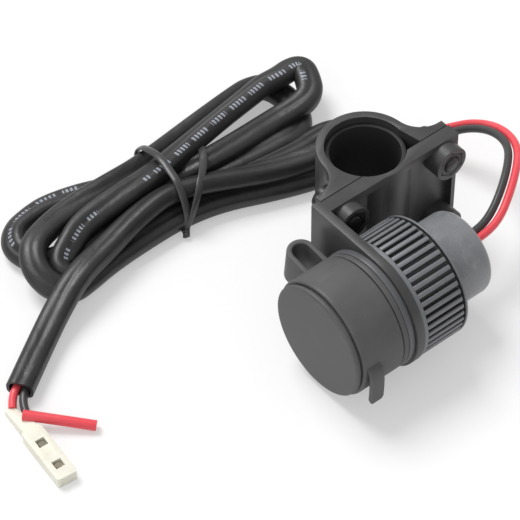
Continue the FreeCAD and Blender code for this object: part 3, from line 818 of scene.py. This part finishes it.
# %% The nut with its ribs
NUT_INNER_R = 15.0
NUT_FRONT, NUT_BACK = -25.5, -8.3
GROOVE_FRONT, GROOVE_BACK = -23.9, -9.0
HOLLOW_R, HOLLOW_OUTER_R, HOLLOW_FRONT = 16.7, 18.3, -18.3
NUT_SEGMENTS = 3 * RIB_COUNT
core = turned_mesh("nut_core", eased([
    (NUT_INNER_R, NUT_FRONT, 0), (NUT_R, NUT_FRONT, 0.3), (NUT_R, GROOVE_FRONT, 0.25),
    (FLOOR_R, GROOVE_FRONT, 0), (FLOOR_R, GROOVE_BACK, 0), (NUT_R, GROOVE_BACK, 0.2),
    (NUT_R, NUT_BACK, 0.25), (HOLLOW_OUTER_R, NUT_BACK, 0.25), (HOLLOW_OUTER_R, HOLLOW_FRONT, 0),
    (HOLLOW_R, HOLLOW_FRONT, 0), (HOLLOW_R, NUT_BACK, 0.3), (NUT_INNER_R, NUT_BACK, 0.3)], 3), NUT_SEGMENTS)
nut_mesh = run_nodes("ring_nut_ribbed", core, ribs_tree, {
    "Piece": rib, "Count": RIB_COUNT, "Centre": (SOCKET_X * MM, 0, SOCKET_Z * MM), "Material": nut_plastic_painted_light})
add_piece("ring_nut_ribbed", nut_mesh, nut_plastic_painted_light, stands_for=("ring_nut",))

# %% [markdown]
# ## Screws and nuts
# Four screws close the clamp, each in a nut held by its boss. One screw and one nut are turned, with
# hexagons from a rule of the angle, and Geometry Nodes put a copy on each of four points.

# %% Copies on points
tree, start, end = new_tree("copies_on_points", [("Piece", "Object")])
copies = copies_on(tree, start, start.outputs["Geometry"])
end_tree(tree, start, end, copies.outputs["Instances"])
fasteners_tree = tree


# %% A hexagon's rule
def hexagon(flats, most=math.inf):
    """A radius rule: the hexagon's own edge, cut back to a circle where a chamfer is turned."""
    def rule(angle):
        off = math.remainder(angle, math.pi / 3)
        return min(most, flats / 2 / math.cos(abs(abs(off) - math.pi / 6)))
    return rule


# %% One screw
SCREW_R, ROOT_R = 2.5, 2.2
THREAD_FROM, THREAD_PITCH, THREAD_TURNS = 14.6, 0.62, 6
SCREW_SEGMENTS = 36
key_hole = hexagon(4.0)
screw = [(0, 4.6), (key_hole, 4.7), (key_hole, 2.75), (2.6, 2.7), (3.95, 2.7), (4.2, 2.82), (4.3, 3.05),
         (4.3, 6.1), (SCREW_R, 6.1)]
for k in range(THREAD_TURNS):
    screw += [(SCREW_R, THREAD_FROM + THREAD_PITCH * k), (ROOT_R, THREAD_FROM + THREAD_PITCH * (k + 0.5))]
screw += [(2.4, 18.2), (2.0, 18.4), (0, 18.4)]
screw_mesh = turned_mesh("screw", screw, SCREW_SEGMENTS, "X", (0, 0), closed=False)
print("screw", len(screw_mesh.polygons), "faces")

# %% One nut, and four of each
NUT_FLATS = 8.0
HEX_SEGMENTS = 48
SCREW_YS = (-19.5, 19.5)
SCREW_ZS = (6.4, 34.4)
hex_mesh = turned_mesh("nut", [
    (SCREW_R, 13.9), (hexagon(NUT_FLATS, 4.25), 13.9), (hexagon(NUT_FLATS), 14.25),
    (hexagon(NUT_FLATS), 17.55), (hexagon(NUT_FLATS, 4.2), 17.9), (2.95, 17.9), (SCREW_R, 17.45)],
    HEX_SEGMENTS, "X", (0, 0))
for name, mesh in (("clamp_screws", screw_mesh), ("clamp_nuts", hex_mesh)):
    one = bpy.data.objects.new(name + "_one", mesh)
    spots = bpy.data.meshes.new(name + "_spots")
    spots.from_pydata([(0, y * MM, z * MM) for y in SCREW_YS for z in SCREW_ZS], [], [])
    four = run_nodes(name + "_set", spots, fasteners_tree, {"Piece": one, "Material": fastener_steel})
    add_piece(name + "_set", smooth_mesh(four, TURNED_SHARP), fastener_steel,
              stands_for=(name,))

# %% [markdown]
# ## The socket's body, cap and ring
# The cap is one soft rubber lid: a domed disc, a fine groove behind it, a skirt over the socket's head and
# a pull tab. Its edges are generous, as rubber's are. The ring behind it holds the strap's other end.

# %% The body
HEAD_R, HEAD_INNER_R = 17.0, 15.2
BARREL_R, BARREL_INNER_R = 14.9, 12.9
SPIGOT_R, SPIGOT_INNER_R = 12.4, 10.9
FLANGE_R = 19.5
HEAD_FRONT, FACE_SEAT, FLANGE_FRONT, FLANGE_BACK = -47.3, -39.7, -30.7, -28.5
SPIGOT_ROOT, BARREL_BACK, SPIGOT_BACK = -9.0, -7.0, -3.0
body_mesh = turned_mesh("socket_body_turned", eased([
    (HEAD_R, HEAD_FRONT, 0.5), (HEAD_R, FLANGE_FRONT, 0), (FLANGE_R, FLANGE_FRONT, 0.4),
    (FLANGE_R, FLANGE_BACK, 0.4), (BARREL_R, FLANGE_BACK, 0), (BARREL_R, BARREL_BACK, 0.5),
    (SPIGOT_R, BARREL_BACK, 0), (SPIGOT_R, SPIGOT_BACK, 0.3), (SPIGOT_INNER_R, SPIGOT_BACK, 0),
    (SPIGOT_INNER_R, SPIGOT_ROOT, 0), (BARREL_INNER_R, SPIGOT_ROOT, 0), (BARREL_INNER_R, FACE_SEAT, 0),
    (HEAD_INNER_R, FACE_SEAT, 0), (HEAD_INNER_R, HEAD_FRONT, 0.4)]))
add_piece("socket_body_turned", body_mesh, socket_plastic, stands_for=("socket_body",))

# %% The cap's ring
CAP_R, CAP_INNER_R = 19.3, 17.3
RING_FRONT = -32.6
ring_mesh = turned_mesh("cap_ring_turned", eased([
    (CAP_INNER_R, RING_FRONT, 0.2), (CAP_R, RING_FRONT, 0.55), (CAP_R, FLANGE_FRONT, 0.4),
    (CAP_INNER_R, FLANGE_FRONT, 0.2)]))
add_piece("cap_ring_turned", ring_mesh, cap_rubber, stands_for=("cap_ring",))

# %% The pull tab
RUBBER_EASE = 0.6
RUBBER_SHARP = 50
TIP_PULL = 0.35
TIP_SHARE = 0.7


def tongue_mesh(name, line, ys, thick):
    """A soft tongue of even thickness along (x, z) points, rounded at its edges and its tip."""
    rings = []
    count = len(line) - 1
    for k, (x, z) in enumerate(line):
        x0, z0 = line[max(k - 1, 0)]
        x1, z1 = line[min(k + 1, count)]
        out = Vector((z0 - z1, 0, x1 - x0)).normalized()
        pull, share = (TIP_PULL, TIP_SHARE) if k == count else (0, 1)
        low, high, half = ys[0] + pull, ys[1] - pull, thick / 2 * share
        corners = ((low, -half), (high, -half), (high, half), (low, half))
        section = eased([(y, t, RUBBER_EASE) for y, t in corners], 3)
        rings.append([(Vector((x, y, z)) + out * t) * MM for y, t in section])
    return lofted(name, rings, RUBBER_SHARP)


TAB_LINE = ((54.9, 22.8), (56.6, 21.6), (57.5, 19.8), (57.7, 17.2), (57.7, 14.2), (57.6, 11.4), (57.5, 9.6),
            (57.5, 8.4))
TAB_Y = (-46.9, -42.0)
TAB_T = 1.8
tab_mesh = tongue_mesh("cap_tab", TAB_LINE, TAB_Y, TAB_T)
print("tab", len(tab_mesh.polygons), "faces")

# %% The cap
DISC_R, DISC_BACK = 18.5, -48.7
GROOVE_R = 17.8
SKIRT_FRONT, SKIRT_BACK = -48.1, -32.9
CAP_INSIDE = -47.6
PLUG_R, PLUG_INNER_R, PLUG_BACK = 14.9, 13.5, -45.0
CAP_SEGMENTS = 128
CAP_SHARP = 40
dome = [(0, -50.5, 0), (9.0, -50.42, 0), (15.0, -50.28, 0), (DISC_R, -50.2, 1.3)]
cap_mesh = turned_mesh("cap_lid", eased(dome + [
    (DISC_R, DISC_BACK, 0.35), (GROOVE_R, DISC_BACK, 0), (GROOVE_R, SKIRT_FRONT, 0),
    (CAP_R, SKIRT_FRONT, 1.1), (CAP_R, SKIRT_BACK, 0.35), (CAP_INNER_R, SKIRT_BACK, 0.3),
    (CAP_INNER_R, CAP_INSIDE, 0), (PLUG_R, CAP_INSIDE, 0), (PLUG_R, PLUG_BACK, 0.3),
    (PLUG_INNER_R, PLUG_BACK, 0.3), (PLUG_INNER_R, CAP_INSIDE, 0), (0, CAP_INSIDE, 0)], 6),
    CAP_SEGMENTS, closed=False)
lid_mesh = smooth_mesh(joined("cap_lid", [cap_mesh, tab_mesh]), CAP_SHARP)
add_piece("cap_lid", lid_mesh, cap_rubber, "cap", stands_for=("cap",))

# %% [markdown]
# ## The strap
# The strap is a soft U-shaped band from the cap's skirt to its ring. It is swept as one mesh.

# %% The strap's line
STRAP_FRONT = -39.2
STRAP_BACK = -31.65
STRAP_BEND = (STRAP_BACK - STRAP_FRONT) / 2
STRAP_TOP = 25.3
STRAP_FOOT = (18.4, 20.2, 22.0)
STRAP_STEPS = 24
centreline = [(r, STRAP_FRONT) for r in STRAP_FOOT]
for k in range(STRAP_STEPS + 1):
    angle = math.pi * k / STRAP_STEPS
    centreline.append((STRAP_TOP + STRAP_BEND * math.sin(angle),
                       (STRAP_FRONT + STRAP_BACK) / 2 - STRAP_BEND * math.cos(angle)))
centreline += [(r, STRAP_BACK) for r in reversed(STRAP_FOOT)]
print("strap line has", len(centreline), "points")

# %% Sweep the strap
STRAP_TURN = math.radians(174)
STRAP_HALF_W = 6.0
STRAP_HALF_T = 0.9
CORNERS = ((-1, -1), (1, -1), (1, 1), (-1, 1))
outwards = Vector((math.cos(STRAP_TURN), 0, math.sin(STRAP_TURN)))
across = Vector((-outwards.z, 0, outwards.x))
axis = Vector((SOCKET_X, 0, SOCKET_Z))
section = eased([(STRAP_HALF_W * a, STRAP_HALF_T * b, RUBBER_EASE) for a, b in CORNERS])
rings = []
for k, (r, y) in enumerate(centreline):
    r0, y0 = centreline[max(k - 1, 0)]
    r1, y1 = centreline[min(k + 1, len(centreline) - 1)]
    ahead = (outwards * (r1 - r0) + Vector((0, y1 - y0, 0))).normalized()
    thick = across.cross(ahead)
    middle = axis + outwards * r + Vector((0, y, 0))
    rings.append([(middle + across * a + thick * b) * MM for a, b in section])
strap_mesh = lofted("cap_strap_band", rings, RUBBER_SHARP)
strap_mesh.materials.append(cap_rubber)
print("strap", len(strap_mesh.polygons), "faces")

# %% Put the strap in the scene
strap = bpy.data.objects.new("cap_strap_band", strap_mesh)
scene.collection.objects.link(strap)
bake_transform(strap)
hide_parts("cap_strap")

# %% [markdown]
# ## Inside the socket
# The ports, the board and its parts lie behind the cap. Their solids already have the right shapes, so
# each only takes its own finish, and so do the connector's contacts.

# %% Finish the carried-over solids
INSIDE = {
    "usb_face": socket_plastic, "usb_shell_upper": shell_steel, "usb_shell_lower": shell_steel,
    "usb_tongue_upper": tongue_plastic, "usb_tongue_lower": tongue_plastic, "usb_contacts": contact_gold,
    "circuit_board": board_green, "power_inductor": component_dark, "filter_capacitors": capacitor_can,
    "converter_chip": component_dark, "red_lead": wire_red, "black_lead": wire_black,
    "connector_contacts": contact_dull_and_shade,
}
for node, material in INSIDE.items():
    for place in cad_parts[node].material_slots:
        place.link = "OBJECT"
        place.material = material
print(len(INSIDE), "solids finished")

# %% [markdown]
# ## The tie
# A thin twist tie holds the hank. It goes round twice, fans out on top and is twisted together on the near
# side. The band is swept along two routes, wide side to the cords, and the twist is two short helices.

# %% Wraps of the tie
WRAPS = (
    ((-36.8, -41.6, 1.8), (-36.4, -41, 6.4), (-39.6, -40.2, 12.6), (-43.6, -39.4, 16.2),
     (-48.5, -38.4, 16.2), (-56, -37.2, 16.6), (-62.5, -36.6, 14.2), (-68.2, -36.2, 10.8),
     (-70.2, -36.2, 5.6), (-66.5, -36.6, 1.4), (-60, -37, 0.4), (-48, -38.6, 0.35), (-41, -40.6, 0.4),
     (-37, -41.8, 1.4)),
    ((-36.6, -41.8, 1.8), (-36, -40, 6.4), (-37.6, -36.6, 11.4), (-41.5, -31.6, 14.6),
     (-47.5, -26.2, 12.8), (-52.5, -22.6, 12.8), (-57, -20.4, 9), (-60, -20, 6), (-63, -26, 3),
     (-62, -35, 0.6), (-48, -39, 0.35), (-41, -41, 0.4), (-36.8, -42.2, 1.4)),
)
TIE_HALF_W = 1.3
TIE_HALF_T = 0.45
TIE_SIDES = 12
TIE_STEPS = 8
BUNDLE_X, BUNDLE_Z = -48.5, 6.5


def band_mesh(name, line):
    """An oval band along a line, with its wide side to the middle of the bundle."""
    rings = []
    for k, point in enumerate(line):
        ahead = direction_at(line, k)
        out = Vector((point.x - BUNDLE_X * MM, 0, point.z - BUNDLE_Z * MM))
        wide = ahead.cross(out).normalized()
        out = wide.cross(ahead)
        ring = []
        for j in range(TIE_SIDES):
            angle = 2 * math.pi * j / TIE_SIDES
            around = wide * TIE_HALF_W * math.cos(angle) + out * TIE_HALF_T * math.sin(angle)
            ring.append(point + around * MM)
        rings.append(ring)
    return lofted(name, rings, TUBE_SHARP)


tie_meshes = [band_mesh("wrap", route_line(wrap, TIE_STEPS)) for wrap in WRAPS]
print(len(tie_meshes), "wraps")

# %% Twisted ends of the tie
TWIST_FROM = Vector((-36.9, -41.8, 2.0)) * MM
TWIST_TO = Vector((-34.6, -43.6, 1.4)) * MM
TWIST_TURNS = 1.5
TWIST_STEPS = 40
TWIST_R = 0.62 * MM
END_R = 0.58 * MM
END_SIDES = 8
way = (TWIST_TO - TWIST_FROM).normalized()
beside = way.cross(UP).normalized()
over = beside.cross(way)
for phase in (0, math.pi):
    line = []
    for k in range(TWIST_STEPS + 1):
        share = k / TWIST_STEPS
        angle = phase + 2 * math.pi * TWIST_TURNS * share
        around = beside * math.cos(angle) + over * math.sin(angle)
        line.append(TWIST_FROM.lerp(TWIST_TO, share) + around * TWIST_R)
    tie_meshes.append(tube_mesh("twist", line, lambda angle, along: END_R, END_SIDES))
tie_mesh = smooth_mesh(joined("twist_tie", tie_meshes), TUBE_SHARP)
tie = add_piece("twist_tie", tie_mesh, tie_black, stands_for=("hank_tie",))

# %% [markdown]
# ## The end of the lead
# The two wires come out of the sleeve's mouth and go into a flat cream connector with a slim neck. They
# are too short to be cords of their own, so they are plain tubes.

# %% Slim the connector's neck
CONNECTOR_START = Vector((-12.6, -126.4, 0)) * MM
CONNECTOR_TURN = math.radians(-5)
NECK_TO = 5.5 * MM
NECK_SIDE = 0.4 * MM
NECK_SHARE = 0.66
in_connector = Matrix.Translation(CONNECTOR_START) @ Matrix.Rotation(CONNECTOR_TURN, 4, "Z")
connector = bpy.data.objects["connector_moulding"]
connector.data.transform(in_connector.inverted())
for v in connector.data.vertices:
    if v.co.x < NECK_TO:
        v.co.y = min(v.co.y, NECK_SIDE)
        v.co.z *= NECK_SHARE
connector.data.transform(in_connector)
print("connector's neck slimmed")

# %% Wires at the mouth
PIGTAIL_R = 1.65 * MM
TAIL_STEPS = 6
TAIL_WIRES = {
    "tail_red_wire": (wire_red, "wire_red", WIRE_R, (
        (-20.0, -116.0, 3.9), (-18.0, -119.6, 3.9), (-16.2, -122.8, 3.8), (-14.4, -125.0, 3.0),
        (-12.3, -126.5, 2.2))),
    "tail_black_wire": (wire_black, "wire_black", WIRE_R, (
        (-17.2, -115.0, 3.7), (-15.6, -118.4, 3.7), (-13.9, -121.2, 3.2), (-11.6, -123.0, 2.8),
        (-8.8, -124.3, 2.3), (-5.0, -125.2, 1.9), (-1.0, -126.2, 1.8))),
    "red_pigtail": (wire_red, "wire_red", PIGTAIL_R, (
        (-7.0, -126.4, 4.2), (-1.9, -121.4, 3.5), (3.3, -116.1, 2.6), (8.5, -110.9, 1.7))),
}
for name, (material, slot, radius, route) in TAIL_WIRES.items():
    line = route_line(route, TAIL_STEPS)
    mesh = tube_mesh(name + "_sheath", line, lambda angle, along: radius, WIRE_SIDES)
    add_piece(name + "_sheath", mesh, material, stands_for=(name,))

# %% [markdown]
# ## Stage and light
# A plain pale floor takes the object's soft shadow, and the world lights it from all round. Two suns are
# added: a key from above and behind on the left, and a weak, wide fill from the near left. The floor and
# the world show paler to the camera than they light, so the background is white and nothing is overlit.

# %% Floor
HALF_FLOOR = 3.0
FLOOR_Z = -0.0001
FLOOR_TONE = (0.86, 0.86, 0.86, 1)
FLOOR_GLOW = 0.4
floor_mesh = bpy.data.meshes.new("floor")
places = [(x * HALF_FLOOR, y * HALF_FLOOR, FLOOR_Z) for x, y in CORNERS]
floor_mesh.from_pydata(places, [], [(0, 1, 2, 3)])
floor = bpy.data.objects.new("floor", floor_mesh)
scene.collection.objects.link(floor)
paper = bpy.data.materials.new("paper")
paper.use_nodes = True
tree = paper.node_tree
tree.nodes.clear()
output = tree.nodes.new("ShaderNodeOutputMaterial")
matt = tree.nodes.new("ShaderNodeBsdfDiffuse")
matt.inputs["Color"].default_value = FLOOR_TONE
glow = tree.nodes.new("ShaderNodeEmission")
blend = tree.nodes.new("ShaderNodeMixShader")
ray = tree.nodes.new("ShaderNodeLightPath")
seen = calculate(tree, "MAXIMUM", ray.outputs["Is Camera Ray"], ray.outputs["Is Glossy Ray"])
seen = calculate(tree, "MAXIMUM", seen, ray.outputs["Is Transmission Ray"])
tree.links.new(calculate(tree, "MULTIPLY", seen, FLOOR_GLOW), blend.inputs["Fac"])
for shader, socket in zip((matt.outputs["BSDF"], glow.outputs["Emission"]), blend.inputs[1:]):
    tree.links.new(shader, socket)
tree.links.new(blend.outputs["Shader"], output.inputs["Surface"])
floor_mesh.materials.append(paper)
print("floor", 2 * HALF_FLOOR, "m across")

# %% World
SKY_LIGHT = 0.5
SKY_SEEN = 1.0
world = bpy.data.worlds.new("studio")
world.use_nodes = True
scene.world = world
tree = world.node_tree
sky = tree.nodes["Background"]
sky.inputs["Color"].default_value = (1, 1, 1, 1)
ray = tree.nodes.new("ShaderNodeLightPath")
strength = map_range(tree, ray.outputs["Is Camera Ray"], 0, 1, SKY_LIGHT, SKY_SEEN)
tree.links.new(strength, sky.inputs["Strength"])
print("world lights at", SKY_LIGHT)

# %% Key and fill
LAMPS = {
    "key": (2.5, 30, -level_right * 0.4 + level_away * 0.45 + UP * 0.95),
    "fill": (0.5, 60, -level_right * 0.5 - level_away * 0.9 + UP * 0.5),
}
for name, (strength, spread, place) in LAMPS.items():
    lamp = bpy.data.objects.new(name, bpy.data.lights.new(name, "SUN"))
    lamp.data.energy = strength
    lamp.data.angle = math.radians(spread)
    lamp.location = place
    lamp.rotation_euler = place.to_track_quat("Z", "Y").to_euler()
    scene.collection.objects.link(lamp)
scene.view_settings.view_transform = "Standard"
print(len(LAMPS), "lamps")
